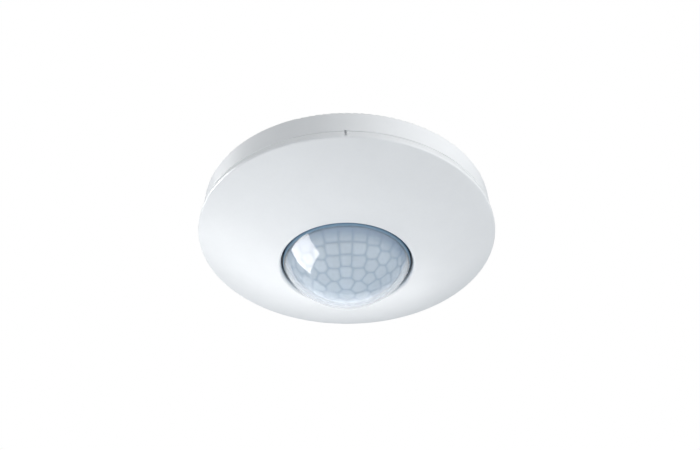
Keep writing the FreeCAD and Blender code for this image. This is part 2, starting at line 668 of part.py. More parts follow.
def cup_holes():
    holes = [rod(0.95, CUP_BOTTOM - 1, 7.5, side * CUP_BOSS_X, 0) for side in (-1, 1)]
    funnel_depth, funnel_flare = 0.8, 0.6
    for x in POLE_XS:
        place = V(x, WIRE_Y, CUP_TOP - funnel_depth + 0.01)
        holes.append(Part.makeCone(WIRE_R, WIRE_R + funnel_flare, funnel_depth, place))
        holes.append(rod(WIRE_R, CUP_INNER_TOP - 1, CUP_TOP, x, WIRE_Y))
        holes.append(button_opening(x, BUTTON_SIDE + 0.3, CUP_INNER_TOP - 1, CUP_TOP + 1))
    return holes


def power_housing():
    body = joined(cup_shell(), *cup_bosses(), *cup_ribs(), *pole_dividers(), strip_gauge())
    return without(body, label_recess(), *cup_holes())


def power_cover():
    """Plate that closes the cup and carries the two lugs screwed to the base."""
    z0, z1 = POWER_COVER_BOTTOM, POWER_COVER_TOP
    tongue = joined(
        box(-TONGUE_R, TONGUE_R, -LUG_SCREW_Y, LUG_SCREW_Y, z0, z1),
        rod(TONGUE_R, z0, z1, 0, LUG_SCREW_Y),
        rod(TONGUE_R, z0, z1, 0, -LUG_SCREW_Y),
    )
    posts = [rod(1.2, z1 - 0.5, POWER_BOARD_BOTTOM - FIT, *polar(21.3, a)) for a in (45, 135, 225, 315)]
    plate = joined(rod(CUP_R - 0.1, z0, z1), tongue, *posts)
    holes = [box(-7.2, 7.2, LINK_Y - 2.2, LINK_Y + 2.2, z0 - 1, z1 + 1)]
    for side in (-1, 1):
        holes.append(rod(SCREW_CLEAR, z0 - 1, z1 + 1, side * CUP_BOSS_X, 0))
        holes.append(rod(SCREW_CLEAR, z0 - 1, z1 + 1, 0, side * LUG_SCREW_Y))
    for k in range(5):
        vent_y = 4.0 + 2.4 * k
        holes.append(box(-11.0, 11.0, vent_y, vent_y + 1.0, z0 - 1, z1 + 1))
    return without(plate, *holes)


def power_screws():
    z = POWER_COVER_BOTTOM - FIT
    return group(
        [screw(side * CUP_BOSS_X, 0, z, 5.0, shank_r=0.9) for side in (-1, 1)]
        + [screw(0, side * LUG_SCREW_Y, z, -0.3, shank_r=0.95) for side in (-1, 1)]
    )


def power_board():
    board = rod(POWER_BOARD_R, POWER_BOARD_BOTTOM, POWER_BOARD_TOP)
    z0, z1 = POWER_BOARD_BOTTOM - 1, POWER_BOARD_TOP + 1
    holes = []
    for side in (-1, 1):
        web_x = side * 22.5
        holes.append(rod(CUP_BOSS_R + 0.3, z0, z1, side * CUP_BOSS_X, 0))
        holes.append(box(web_x - 1.4, web_x + 1.4, -CUP_BOSS_R, CUP_BOSS_R, z0, z1))
    holes += [rod(0.5, z0, z1, x, LINK_Y) for x in link_pin_xs()]
    holes += [rod(0.75, z0, z1, x, y) for x, y in through_pins()]
    return without(board, *holes)


def through_pins():
    """Places where leads of tall components pass through the power board."""
    relay = [(-10.1, RELAY_Y - 3.5), (-10.1, RELAY_Y + 3.5), (7.3, RELAY_Y), (SPRING_X + 0.9, RELAY_Y)]
    return relay + [(x, (BLOCK_Y0 + BLOCK_Y1) / 2) for x in POLE_XS]


def lead(x, y, top):
    """Solid wire lead that passes through the power board."""
    return rod(0.4, POWER_BOARD_BOTTOM - 1.2, top, x, y)


def suppression_capacitor():
    return rounded_box(-18.3, -1.2, -12.2, -5.8, ON_BOARD, ON_BOARD + 13.0, 0.6)


def bulk_capacitor():
    x, y, r, top = 5.4, -10.2, 4.0, ON_BOARD + 15.0
    can = turned(
        (0, ON_BOARD), (r, ON_BOARD), (r, ON_BOARD + 1.4),
        ((r - 0.3, ON_BOARD + 1.8), (r, ON_BOARD + 2.2)),
        (r, top - 0.5), (on_arc((r - 0.5, top - 0.5), 0.5, 45), (r - 0.5, top)), (0, top),
    )
    for angle in (0, 60, 120):
        can = can.cut(spun(box(-2.4, 2.4, -0.12, 0.12, top - 0.25, top + 1), angle))
    can.translate(V(x, y, 0))
    return can


def varistor():
    x, y, r = -9.0, -15.6, 4.4
    half_thick, rounding, foot_x = 1.7, 1.2, 2.4
    disc = rod_y(r, y - half_thick, y + half_thick, x, ON_BOARD + rounding + r)
    disc = disc.makeFillet(rounding, round_edges(disc))
    feet = [rod(0.6, ON_BOARD, ON_BOARD + 3.4, x + dx, y) for dx in (-foot_x, foot_x)]
    return joined(disc, *feet)


def fuse():
    x, y, r = 15.2, -9.4, 3.7
    can = rod(r, ON_BOARD, ON_BOARD + 7.6, x, y)
    return can.makeFillet(0.5, [e for e in round_edges(can) if e.Curve.Center.z > ON_BOARD + 1])


RECT_X0, RECT_X1, RECT_Y0, RECT_Y1 = 8.0, 13.6, -17.9, -14.3


def bridge_rectifier():
    return rounded_box(RECT_X0, RECT_X1, RECT_Y0, RECT_Y1, ON_BOARD + 0.3, ON_BOARD + 2.9, 0.3)


def rectifier_legs():
    """Two legs along each long side."""
    legs, half_w, clear, out = [], 0.25, 0.1, 0.6
    z0, z1 = POWER_BOARD_TOP + 0.02, ON_BOARD + 1.6
    for x in (RECT_X0 + 1.2, RECT_X1 - 1.2):
        for y0, y1 in ((RECT_Y0 - out, RECT_Y0 - clear), (RECT_Y1 + clear, RECT_Y1 + out)):
            legs.append(box(x - half_w, x + half_w, y0, y1, z0, z1))
    return group(legs)


CHOKE_X, CHOKE_Y, CHOKE_FLANGE_R, CHOKE_WAIST_R, CHOKE_H, CHOKE_FLANGE = 15.3, 12.6, 2.8, 1.9, 7.0, 1.2


def choke():
    """Small drum inductor: two flanges and a waist."""
    z0, z1 = ON_BOARD, ON_BOARD + CHOKE_H
    drum = turned(
        (0, z0),
        (CHOKE_FLANGE_R, z0),
        (CHOKE_FLANGE_R, z0 + CHOKE_FLANGE),
        (CHOKE_WAIST_R, z0 + CHOKE_FLANGE),
        (CHOKE_WAIST_R, z1 - CHOKE_FLANGE),
        (CHOKE_FLANGE_R, z1 - CHOKE_FLANGE),
        (CHOKE_FLANGE_R, z1),
        (0, z1),
    )
    drum.translate(V(CHOKE_X, CHOKE_Y, 0))
    return drum


def choke_winding():
    z0, z1 = ON_BOARD + CHOKE_FLANGE + FIT, ON_BOARD + CHOKE_H - CHOKE_FLANGE - FIT
    return tube(CHOKE_FLANGE_R - 0.3, CHOKE_WAIST_R + FIT, z0, z1, CHOKE_X, CHOKE_Y)


# ------------------------------------------------------------------ mains terminals
CHAMBER_Z0, CHAMBER_Z1 = 3.2, 9.2
WELL_SIDE = BUTTON_SIDE + 1.0


def terminal_block():
    y_mid = (BLOCK_Y0 + BLOCK_Y1) / 2
    block = rounded_box(-BLOCK_X, BLOCK_X, BLOCK_Y0, BLOCK_Y1, ON_BOARD, BLOCK_TOP, 0.5)
    holes = []
    for x in POLE_XS:
        holes.append(box(x - 1.9, x + 1.9, BLOCK_Y0 + 1.0, BLOCK_Y1 - 1.0, CHAMBER_Z0, CHAMBER_Z1))
        holes.append(rod(WIRE_R, CHAMBER_Z1 - 0.5, BLOCK_TOP + 1, x, WIRE_Y))
        holes.append(button_opening(x, WELL_SIDE, CHAMBER_Z1 - 0.5, BLOCK_TOP + 1))
        holes.append(rod(0.7, ON_BOARD - 1, CHAMBER_Z0 + 0.5, x, y_mid))
    return without(block, *holes)


def terminal_clamps():
    """One busbar, pin and bent cage spring per pole."""
    y_mid, clamps = (BLOCK_Y0 + BLOCK_Y1) / 2, []
    for x in POLE_XS:
        bar = box(x - 1.6, x + 1.6, BLOCK_Y0 + 1.3, BLOCK_Y1 - 1.3, CHAMBER_Z0 + 0.1, CHAMBER_Z0 + 0.9)
        pin = rod(0.55, POWER_BOARD_BOTTOM - 1.2, CHAMBER_Z0 + 0.5, x, y_mid)
        wall = box(x - 1.6, x + 1.6, BLOCK_Y1 - 1.9, BLOCK_Y1 - 1.3, CHAMBER_Z0 + 0.1, CHAMBER_Z1 - 0.3)
        leaf = box(x - 1.5, x + 1.5, 0, 0.35, 0, 5.0)
        leaf.rotate(V(0, 0, 0), V(1, 0, 0), -38)
        leaf.translate(V(0, BLOCK_Y0 + 1.9, CHAMBER_Z0 + 0.7))
        clamps.append(joined(bar, pin, wall, leaf))
    return group(clamps)


def release_button(index):
    """Push-in pusher that opens one clamp; its shoulder keeps it inside the housing."""
    x = POLE_XS[index]
    stem = button_opening(x, BUTTON_SIDE, 8.5, BUTTON_TOP)
    shoulder = button_opening(x, BUTTON_SIDE + 0.7, BLOCK_TOP - 1.4, BLOCK_TOP - 0.1)
    stem = stem.makeFillet(0.4, [e for e in stem.Edges if min(v.Z for v in e.Vertexes) > BUTTON_TOP - 0.4])
    notch = box(x - 1.0, x + 1.0, BUTTON_Y - 0.35, BUTTON_Y + 0.35, CUP_TOP + 1.3, CUP_TOP + 3)
    return joined(stem, shoulder).cut(notch)


# ------------------------------------------------------------------ relay
def relay_case():
    x, y0, y1 = RELAY_X, RELAY_Y0, RELAY_Y1
    outer = rounded_box(-x, x, y0, y1, ON_BOARD + 0.2, RELAY_TOP, 0.8)
    w = RELAY_WALL
    return outer.cut(box(-x + w, x - w, y0 + w, y1 - w, ON_BOARD - 1, RELAY_TOP - w))


def relay_base():
    gap = RELAY_WALL + 0.08
    plate = box(-RELAY_X + gap, RELAY_X - gap, RELAY_Y0 + gap, RELAY_Y1 - gap, ON_BOARD + 0.2, RELAY_FLOOR)
    return without(plate, *[rod(0.45, 0, 6, x, y) for x, y in through_pins()[:2]],
                   box(6.9, 7.7, RELAY_Y - 1.9, RELAY_Y + 1.9, 0, 6),
                   box(SPRING_X + 0.5, SPRING_X + 1.3, RELAY_Y - 1.9, RELAY_Y + 1.9, 0, 6))


def relay_bobbin():
    y, h, z = RELAY_Y, BOBBIN_HALF, COIL_Z
    flanges = [box(x0, x0 + 1.0, y - h, y + h, z - h, z + h) for x0 in (-10.6, 1.5)]
    body = joined(rod_x(2.6, -10.6, 2.5, y, z), *flanges)
    return body.cut(rod_x(2.05, -12, 4, y, z))


def relay_winding():
    return rod_x(COIL_R, -9.55, 1.45, RELAY_Y, COIL_Z).cut(rod_x(2.65, -12, 4, RELAY_Y, COIL_Z))


def relay_coil_pins():
    return group([lead(x, y, COIL_Z - BOBBIN_HALF - FIT) for x, y in through_pins()[:2]])


def relay_yoke():
    """Iron frame: back plate, floor plate and the core that runs through the coil."""
    y, half = RELAY_Y, 3.6
    back = box(-12.6, -11.2, y - half, y + half, RELAY_FLOOR + 0.1, 15.4)
    floor = box(-12.6, PIVOT_X - 1.0, y - 2.6, y + 2.6, RELAY_FLOOR + 0.1, RELAY_FLOOR + 1.3)
    core = rod_x(2.0, -11.5, 3.9, y, COIL_Z)
    return joined(back, floor, core)


def relay_armature():
    """Iron flap that rocks on the yoke's front edge towards the core."""
    y, x0, x1 = RELAY_Y, PIVOT_X - 0.6, PIVOT_X + 0.6
    plate = box(x0, x1, y - 3.4, y + 3.4, PIVOT_Z + 0.2, 14.4)
    knuckle = rod_y(0.6, y - 3.4, y + 3.4, PIVOT_X, PIVOT_Z + 0.2)
    tip = box(x0 + 0.2, x1 - 0.2, y - 1.2, y + 1.2, 14.0, 15.9)
    return joined(plate, knuckle, tip)


def relay_card():
    """Plastic link that carries the armature's motion to the contact spring."""
    bar = box(3.6, SPRING_X + 1.2, RELAY_Y - 2.2, RELAY_Y + 2.2, 14.95, 16.1)
    armature_slot = box(PIVOT_X - 0.65, PIVOT_X + 0.65, RELAY_Y - 1.4, RELAY_Y + 1.4, 14, 17)
    spring_slot = box(SPRING_X - 0.4, SPRING_X + 0.4, RELAY_Y - 1.4, RELAY_Y + 1.4, 14, 17)
    return without(bar, armature_slot, spring_slot)


CONTACT_Z, CONTACT_R = 12.4, 1.3
CONTACT_FACE = SPRING_X - 0.9
CONTACT_GAP = 0.85  # open gap, a little more than the 0.8 mm that the contact travels


def relay_spring():
    """Moving contact: a leaf with a rivet, hinged at its rolled root."""
    root = rod_y(0.3, RELAY_Y - 1.8, RELAY_Y + 1.8, SPRING_X, SPRING_Z)
    leaf = box(SPRING_X - 0.12, SPRING_X + 0.12, RELAY_Y - 1.8, RELAY_Y + 1.8, SPRING_Z, 14.2)
    tip = box(SPRING_X - 0.12, SPRING_X + 0.12, RELAY_Y - 1.2, RELAY_Y + 1.2, 14.0, 15.8)
    rivet = rod_x(CONTACT_R, CONTACT_FACE, SPRING_X, RELAY_Y, CONTACT_Z)
    return joined(root, leaf, tip, rivet)


def relay_fixed_contact():
    z0, x = POWER_BOARD_BOTTOM - 1.2, 7.3
    blade = box(x - 0.3, x + 0.3, RELAY_Y - 1.8, RELAY_Y + 1.8, ON_BOARD + 0.4, 14.2)
    rivet = rod_x(CONTACT_R, x, CONTACT_FACE - CONTACT_GAP, RELAY_Y, CONTACT_Z)
    pin = box(x - 0.3, x + 0.3, RELAY_Y - 0.5, RELAY_Y + 0.5, z0, ON_BOARD + 0.5)
    return joined(blade, rivet, pin)


def relay_common_terminal():
    """Blade that the moving spring is riveted to."""
    x0, x1 = SPRING_X + 0.6, SPRING_X + 1.2
    blade = box(x0, x1, RELAY_Y - 1.8, RELAY_Y + 1.8, ON_BOARD + 0.4, RELAY_FLOOR + 0.1)
    pin = box(x0, x1, RELAY_Y - 0.5, RELAY_Y + 0.5, POWER_BOARD_BOTTOM - 1.2, ON_BOARD + 0.5)
    return joined(blade, pin)


# ------------------------------------------------------------------ export
PARTS = {
    "mounting_base": mounting_base,
    "front_cover": front_cover,
    "fresnel_lens": fresnel_lens,
    "lens_retainer": lens_retainer,
    "sensor_chassis": sensor_chassis,
    "chassis_screws": chassis_screws,
    "sensor_board": sensor_board,
    "board_screws": board_screws,
    "pir_can": pir_can,
    "pir_window": pir_window,
    "pir_leads": pir_leads,
    "light_sensor": light_sensor,
    "status_led": status_led,
    "remote_receiver": remote_receiver,
    "controller_chip": controller_chip,
    "controller_legs": controller_legs,
    "sensor_board_parts": sensor_board_parts,
    "lux_potentiometer": lambda: potentiometer(LUX_ANGLE),
    "lux_dial": lambda: dial(LUX_ANGLE),
    "time_potentiometer": lambda: potentiometer(TIME_ANGLE),
    "time_dial": lambda: dial(TIME_ANGLE),
    "program_switch": program_switch,
    "program_button": program_button,
    "link_socket": link_socket,
    "link_header": link_header,
    "link_pins": link_pins,
    "power_housing": power_housing,
    "power_cover": power_cover,
    "power_screws": power_screws,
    "power_board": power_board,
    "suppression_capacitor": suppression_capacitor,
    "bulk_capacitor": bulk_capacitor,
    "varistor": varistor,
    "fuse": fuse,
    "bridge_rectifier": bridge_rectifier,
    "rectifier_legs": rectifier_legs,
    "choke": choke,
    "choke_winding": choke_winding,
    "terminal_block": terminal_block,
    "terminal_clamps": terminal_clamps,
    "release_button_1": lambda: release_button(0),
    "release_button_2": lambda: release_button(1),
    "release_button_3": lambda: release_button(2),
    "release_button_4": lambda: release_button(3),
    "relay_case": relay_case,
    "relay_base": relay_base,
    "relay_bobbin": relay_bobbin,
    "relay_winding": relay_winding,
    "relay_coil_pins": relay_coil_pins,
    "relay_yoke": relay_yoke,
    "relay_armature": relay_armature,
    "relay_card": relay_card,
    "relay_spring": relay_spring,
    "relay_fixed_contact": relay_fixed_contact,
    "relay_common_terminal": relay_common_terminal,
}

os.makedirs("parts", exist_ok=True)
for name, make in PARTS.items():
    shape = make()
    if not shape.isValid() or not shape.Solids:
        raise ValueError(f"{name} is not a valid solid")
    shape.exportStep(f"parts/{name}.step")
    print(f"{name}: {len(shape.Solids)} solid(s), {sum(s.Volume for s in shape.Solids) / 1000:.3f} cm3")
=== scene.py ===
import bpy
import json
import math
import numpy as np
from mathutils import Matrix, Quaternion, Vector


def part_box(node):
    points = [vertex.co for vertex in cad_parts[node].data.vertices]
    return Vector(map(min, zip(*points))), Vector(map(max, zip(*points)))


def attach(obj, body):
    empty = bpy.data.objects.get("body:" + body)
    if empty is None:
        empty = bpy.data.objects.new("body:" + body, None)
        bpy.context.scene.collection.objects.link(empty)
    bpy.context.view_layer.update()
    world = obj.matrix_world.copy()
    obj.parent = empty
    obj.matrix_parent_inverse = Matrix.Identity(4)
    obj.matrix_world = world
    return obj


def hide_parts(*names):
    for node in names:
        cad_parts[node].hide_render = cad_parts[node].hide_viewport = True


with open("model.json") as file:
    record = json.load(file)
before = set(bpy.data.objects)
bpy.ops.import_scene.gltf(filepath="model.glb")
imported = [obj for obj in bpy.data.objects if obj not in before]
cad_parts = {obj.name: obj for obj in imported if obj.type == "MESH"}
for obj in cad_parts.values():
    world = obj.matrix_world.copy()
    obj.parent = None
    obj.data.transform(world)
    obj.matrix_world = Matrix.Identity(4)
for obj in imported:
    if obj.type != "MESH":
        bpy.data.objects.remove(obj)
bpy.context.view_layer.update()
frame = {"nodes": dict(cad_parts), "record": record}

MM = 0.001
NODES = frame["nodes"]
SLOT_OF = {s["node"]: s["material_slot"] for s in frame["record"]["subparts"]}
FINISH = {m["slot"]: m for m in frame["record"]["materials"]}


# ------------------------------------------------------------------ node helpers
class Graph:
    """Small builder for a material's node tree."""

    def __init__(self, name):
        self.material = bpy.data.materials.new(name)
        self.material.use_nodes = True
        self.tree = self.material.node_tree
        self.tree.nodes.clear()
        self.out = self.node("ShaderNodeOutputMaterial")
        self.object_coords = self.node("ShaderNodeTexCoord").outputs["Object"]

    def node(self, kind, values=None, **settings):
        made = self.tree.nodes.new(kind)
        for key, value in settings.items():
            setattr(made, key, value)
        for key, value in (values or {}).items():
            self.feed(made.inputs[key], value)
        return made

    def feed(self, socket, value):
        if isinstance(value, bpy.types.NodeSocket):
            self.tree.links.new(value, socket)
        else:
            socket.default_value = value

    def maths(self, operation, a, b=0.0, c=0.0):
        made = self.node("ShaderNodeMath", operation=operation)
        for socket, value in zip(made.inputs, (a, b, c)):
            self.feed(socket, value)
        return made.outputs[0]

    def noise(self, size_mm, detail=2.0, roughness=0.5, distortion=0.0):
        made = self.node("ShaderNodeTexNoise", {
            "Vector": self.object_coords, "Scale": 1.0 / (size_mm * MM),
            "Detail": detail, "Roughness": roughness, "Distortion": distortion})
        return made.outputs["Fac"]

    def remap(self, value, low, high, to_low, to_high, smooth=False):
        made = self.node("ShaderNodeMapRange", {
            "Value": value, "From Min": low, "From Max": high, "To Min": to_low, "To Max": to_high})
        made.clamp = True
        if smooth:
            made.interpolation_type = "SMOOTHSTEP"
        return made.outputs["Result"]

    def blend(self, factor, a, b, mode="MIX"):
        made = self.node("ShaderNodeMix", data_type="RGBA", blend_type=mode)
        self.feed(made.inputs[0], factor)
        self.feed(made.inputs[6], a)
        self.feed(made.inputs[7], b)
        return made.outputs[2]

    def bump(self, height, depth_mm):
        values = {"Height": height, "Distance": depth_mm * MM, "Strength": 1.0}
        return self.node("ShaderNodeBump", values).outputs["Normal"]

    def axis(self, which, source=None):
        split = self.node("ShaderNodeSeparateXYZ", {"Vector": source or self.object_coords})
        return split.outputs[which]

    def mix_shaders(self, factor, first, second):
        return self.node("ShaderNodeMixShader", {0: factor, 1: first, 2: second}).outputs[0]

    def principled(self, **values):
        named = {k.replace("_", " "): v for k, v in values.items()}
        return self.node("ShaderNodeBsdfPrincipled", named).outputs["BSDF"]

    def finish(self, shader):
        self.feed(self.out.inputs["Surface"], shader)
        return self.material


def rgba(colour, gain=1.0):
    return (colour[0] * gain, colour[1] * gain, colour[2] * gain, 1.0)


def tone(colour, amount=0.06):
    """Lighter and darker versions of a colour."""
    return rgba(colour, 1.0 - amount), rgba([min(1.0, c * (1.0 + amount)) for c in colour])


def plastic(name, colour, rough=0.4, grain_mm=0.35, depth_mm=0.012, variation=0.03, coat=0.0, glow=0.0):
    """Moulded plastic: spark-eroded grain, faint flow marks and uneven sheen."""
    g = Graph(name)
    dark, light = tone(colour, variation)
    flow = g.noise(14.0, detail=3.0, roughness=0.6, distortion=0.6)
    speck = g.noise(0.9, detail=1.0)
    base = g.blend(g.remap(flow, 0.3, 0.7, 0.0, 1.0), dark, light)
    base = g.blend(g.remap(speck, 0.45, 0.75, 0.0, 0.12), base, rgba(colour, 0.93))
    grain = g.noise(grain_mm, detail=3.0, roughness=0.55)
    sheen = g.remap(g.noise(3.0, detail=2.0), 0.3, 0.7, rough - 0.04, rough + 0.05)
    return g.finish(g.principled(
        Base_Color=base, Roughness=sheen, Coat_Weight=coat, Coat_Roughness=0.2,
        Subsurface_Weight=glow, Subsurface_Radius=(0.002, 0.002, 0.002), Subsurface_Scale=0.5,
        Normal=g.bump(grain, depth_mm)))


def metal(name, colour, rough=0.3, streak_mm=(0.12, 0.12, 2.0), depth_mm=0.004, tarnish=0.12):
    """Plated or brushed metal: streaks and patchy tarnish."""
    g = Graph(name)
    stretched = g.node("ShaderNodeMapping", {
        "Vector": g.object_coords, "Scale": tuple(1.0 / s for s in streak_mm)}).outputs["Vector"]
    streaks = g.node("ShaderNodeTexNoise", {
        "Vector": stretched, "Scale": 1000.0, "Detail": 2.0, "Roughness": 0.5}).outputs["Fac"]
    patch = g.noise(2.2, detail=4.0, roughness=0.65)
    dark, light = tone(colour, tarnish)
    base = g.blend(g.remap(patch, 0.35, 0.7, 0.0, 1.0), light, dark)
    sheen = g.remap(patch, 0.3, 0.75, rough - 0.06, rough + 0.14)
    return g.finish(g.principled(
        Base_Color=base, Metallic=1.0, Roughness=sheen, Normal=g.bump(streaks, depth_mm)))


def board(name, mask):
    """Circuit board: solder mask over copper tracks, with bare glass fibre on the cut edge.

    The tracks run across the board in some areas and along it in others, with tinned holes between.
    """
    g = Graph(name)
    turned = g.node("ShaderNodeMapping", {"Vector": g.object_coords, "Rotation": (0.0, 0.0, math.pi / 2)})
    unit = 2.0 * MM  # the track sizes below are in this unit
    across, along = [g.node("ShaderNodeTexBrick", {
        "Vector": coords, "Scale": 1.0 / unit, "Brick Width": 4.2, "Row Height": 0.7, "Mortar Size": 0.06,
        "Mortar Smooth": 0.1}).outputs["Fac"] for coords in (g.object_coords, turned.outputs["Vector"])]
    area = g.remap(g.noise(7.0, detail=0.0), 0.495, 0.505, 0.0, 1.0)
    track = g.maths("ADD", g.maths("MULTIPLY", across, area),
                    g.maths("MULTIPLY", along, g.maths("SUBTRACT", 1.0, area)))
    pads = g.node("ShaderNodeTexVoronoi", {"Vector": g.object_coords, "Scale": 200.0, "Randomness": 0.9},
                  feature="F1", voronoi_dimensions="2D").outputs["Distance"]
    pad = g.remap(pads, 0.06, 0.075, 1.0, 0.0)
    weave = g.node("ShaderNodeTexWave", {"Vector": g.object_coords, "Scale": 1400.0, "Distortion": 0.6},
                   bands_direction="DIAGONAL").outputs["Fac"]
    masked = g.blend(g.remap(weave, 0.0, 1.0, 0.0, 0.12), rgba(mask), rgba(mask, 1.6))
    masked = g.blend(track, masked, rgba((mask[0] + 0.05, mask[1] * 1.9, mask[2] * 1.5)))
    masked = g.blend(pad, masked, (0.72, 0.71, 0.68, 1.0))
    upright = g.maths("ABSOLUTE", g.axis(2, g.node("ShaderNodeNewGeometry").outputs["Normal"]))
    fibre = g.blend(g.noise(0.25, detail=2.0), (0.42, 0.40, 0.22, 1.0), (0.58, 0.55, 0.34, 1.0))
    colour = g.blend(g.remap(upright, 0.4, 0.6, 0.0, 1.0), fibre, masked)
    height = g.maths("MAXIMUM", track, pad)
    return g.finish(g.principled(
        Base_Color=colour, Roughness=0.32, Coat_Weight=0.35, Coat_Roughness=0.12,
        Metallic=g.maths("MULTIPLY", pad, 0.8), Normal=g.bump(height, 0.035)))


def winding(name, colour, axis, wire_mm):
    """Enamelled wire wound in close turns along one axis, with painted shade between the turns and a painted
    highlight on each turn's crest.
    """
    g = Graph(name)
    along = g.axis(axis)
    turns = g.maths("SINE", g.maths("MULTIPLY", along, 2 * math.pi / (wire_mm * MM)))
    wander = g.maths("MULTIPLY", g.noise(1.5), 0.5)
    ridge = g.maths("ADD", turns, wander)
    # painted shade in the valleys between turns, painted highlight on the crests
    base = g.blend(g.remap(ridge, -0.8, 1.2, 0.0, 1.0), rgba(colour, 0.45), rgba(colour, 1.1))
    return g.finish(g.principled(
        Base_Color=base, Metallic=0.85, Roughness=0.28, Coat_Weight=0.5,
        Normal=g.bump(ridge, wire_mm * 0.25)))


def tinted(name, colour, see_through):
    """Tinted clear plastic or glass over a darker inside."""
    rough = 0.12
    g = Graph(name)
    depth = g.blend(g.noise(1.2, detail=2.0), rgba(colour, 0.8), rgba(colour, 1.15))
    body = g.principled(Base_Color=depth, Roughness=g.remap(g.noise(2.0), 0.3, 0.7, rough, rough + 0.05),
                        Transmission_Weight=see_through, IOR=1.5, Coat_Weight=0.6,
                        Normal=g.bump(g.noise(0.6), 0.003))
    return g.finish(body)


def chip_parts(name):
    """Small ceramic parts in a row, with tinned ends: the pitch is that of the parts on the board."""
    g = Graph(name)
    lo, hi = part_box("sensor_board_parts")
    half_part = 1.0 * MM
    pitch = (hi.x - lo.x - 2 * half_part) / 4
    start = lo.x + half_part
    along = g.maths("DIVIDE", g.maths("SUBTRACT", g.axis(0), start), pitch)
    off = g.maths("ABSOLUTE", g.maths("SUBTRACT", along, g.maths("ROUND", along)))
    end = g.remap(off, 0.6 * MM / pitch, 0.64 * MM / pitch, 0.0, 1.0)
    body = g.blend(g.noise(0.3), (0.36, 0.26, 0.16, 1.0), (0.52, 0.40, 0.26, 1.0))
    return g.finish(g.principled(
        Base_Color=g.blend(end, body, (0.78, 0.78, 0.77, 1.0)), Metallic=end, Roughness=0.35,
        Normal=g.bump(g.noise(0.2, detail=3.0), 0.008)))


def sleeve(name, colour):
    """Shrink sleeve with a pale stripe down one side and a bare aluminium end."""
    g = Graph(name)
    lo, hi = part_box("bulk_capacitor")
    side = g.axis(0)
    stripe_edge, end_edge, blur = lo.x + 1.0 * MM, hi.z - 0.35 * MM, 0.05 * MM
    stripe = g.remap(side, stripe_edge, stripe_edge + blur, 1.0, 0.0)
    end = g.remap(g.axis(2), end_edge, end_edge + blur, 0.0, 1.0)
    wrap = g.blend(stripe, rgba(colour), (0.62, 0.66, 0.72, 1.0))
    base = g.blend(end, wrap, (0.78, 0.79, 0.80, 1.0))
    return g.finish(g.principled(
        Base_Color=base, Metallic=end, Roughness=g.remap(g.noise(2.5), 0.3, 0.7, 0.22, 0.34),
        Coat_Weight=0.3, Normal=g.bump(g.noise(1.6, detail=2.0), 0.02)))


def slot_material(slot, node):
    """The procedural material of a CAD node, by its slot."""
    colour = FINISH[slot]["base_color"][:3]
    if slot == "board_green":
        return board(slot, colour)
    if slot == "copper_winding":
        axis, wire = (0, 0.22) if node.startswith("relay") else (2, 0.34)
        return winding(f"{slot}_{node}", colour, axis, wire)
    if slot in ("screw_steel", "can_metal", "solder_tin", "yoke_iron"):
        return metal(slot, colour, rough={"can_metal": 0.18, "solder_tin": 0.25}.get(slot, 0.32))
    if slot in ("gold_pin", "clamp_copper", "contact_bronze"):
        return metal(slot, colour, rough=0.24, streak_mm=(0.1, 0.1, 1.2))
    if slot in ("led_lens", "sensor_window"):
        return tinted(slot, colour, see_through=0.5 if slot == "led_lens" else 0.1)
    if slot == "ceramic_parts":
        return chip_parts(slot)
    if slot == "capacitor_sleeve":
        return sleeve(slot, colour)
    if slot == "white_shell":
        return plastic(slot, colour, rough=0.36, grain_mm=0.30, depth_mm=0.006, variation=0.012,
                       coat=0.3, glow=0.12)
    if slot in ("varistor_blue", "relay_shell", "capacitor_film"):
        return plastic(slot, colour, rough=0.22, grain_mm=0.8, depth_mm=0.015, variation=0.08, coat=0.4)
    if slot == "ferrite":
        return plastic(slot, colour, rough=0.55, grain_mm=0.15, depth_mm=0.02, variation=0.12)
    return plastic(slot, colour, rough=0.42, grain_mm=0.4, depth_mm=0.010, variation=0.04)


made_materials = {}


def material_for(node):
    slot = SLOT_OF[node]
    key = (slot, node if slot == "copper_winding" else "")
    if key not in made_materials:
        made_materials[key] = slot_material(slot, node)
    return made_materials[key]


def dress_cad_nodes():
    for name, obj in NODES.items():
        obj.data.materials.clear()
        obj.data.materials.append(material_for(name))


# ------------------------------------------------------------------ mesh helpers
def new_mesh(name, points, faces, smooth=True):
    mesh = bpy.data.meshes.new(name)
    mesh.from_pydata([tuple(p) for p in points], [], faces)
    mesh.validate()
    mesh.update()
    mesh.polygons.foreach_set("use_smooth", [smooth] * len(mesh.polygons))
    obj = bpy.data.objects.new(name, mesh)
    bpy.context.scene.collection.objects.link(obj)
    return obj


def place(obj, body, slot, *replaced):
    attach(obj, body)
    if replaced:
        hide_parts(*replaced)
    return obj


# ------------------------------------------------------------------ lens
lens_lo, lens_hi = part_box("fresnel_lens")
LENS_R = 25.7 * MM
LENS_CENTRE = Vector((0.0, 0.0, lens_lo.z + LENS_R))
COLLAR_R = 22.9 * MM
CLEAR_WALL = 0.35 * MM  # smooth outer layer of the lens
CELL_R = LENS_R - CLEAR_WALL - 0.05 * MM  # sphere that the cells are cut in
CELL_BACK = 0.6 * MM  # thickness of the cell layer
RING_START, RING_PITCH = 8.3, 10.3  # polar angle where the first ring of cells begins, and each ring's width
# Rings from the middle outwards: number of cells, and how many degrees the front one spans
RINGS = ((7, 51.4), (14, 24.0), (18, 15.7), (22, 14.2), (25, 14.0))
FRONT = -91.0  # azimuth that one cell of every ring is centred on
CELL_EDGE = math.radians(61.6)  # the last ring of cells ends here, just under the collar
GROOVE_WIDTH, GROOVE_DEPTH, PILLOW = 0.45 * MM, 0.14 * MM, 0.18 * MM
GATE_R, GATE_DEPTH = 0.45 * MM, 0.12 * MM  # dimple in the middle, where the plastic was injected
FRESNEL_PITCH = 0.42  # mm between the fine rings in a cell
COLLAR_WALL, FLANGE_THICK, FLANGE_CORNER = 1.0 * MM, 1.2 * MM, 0.2 * MM


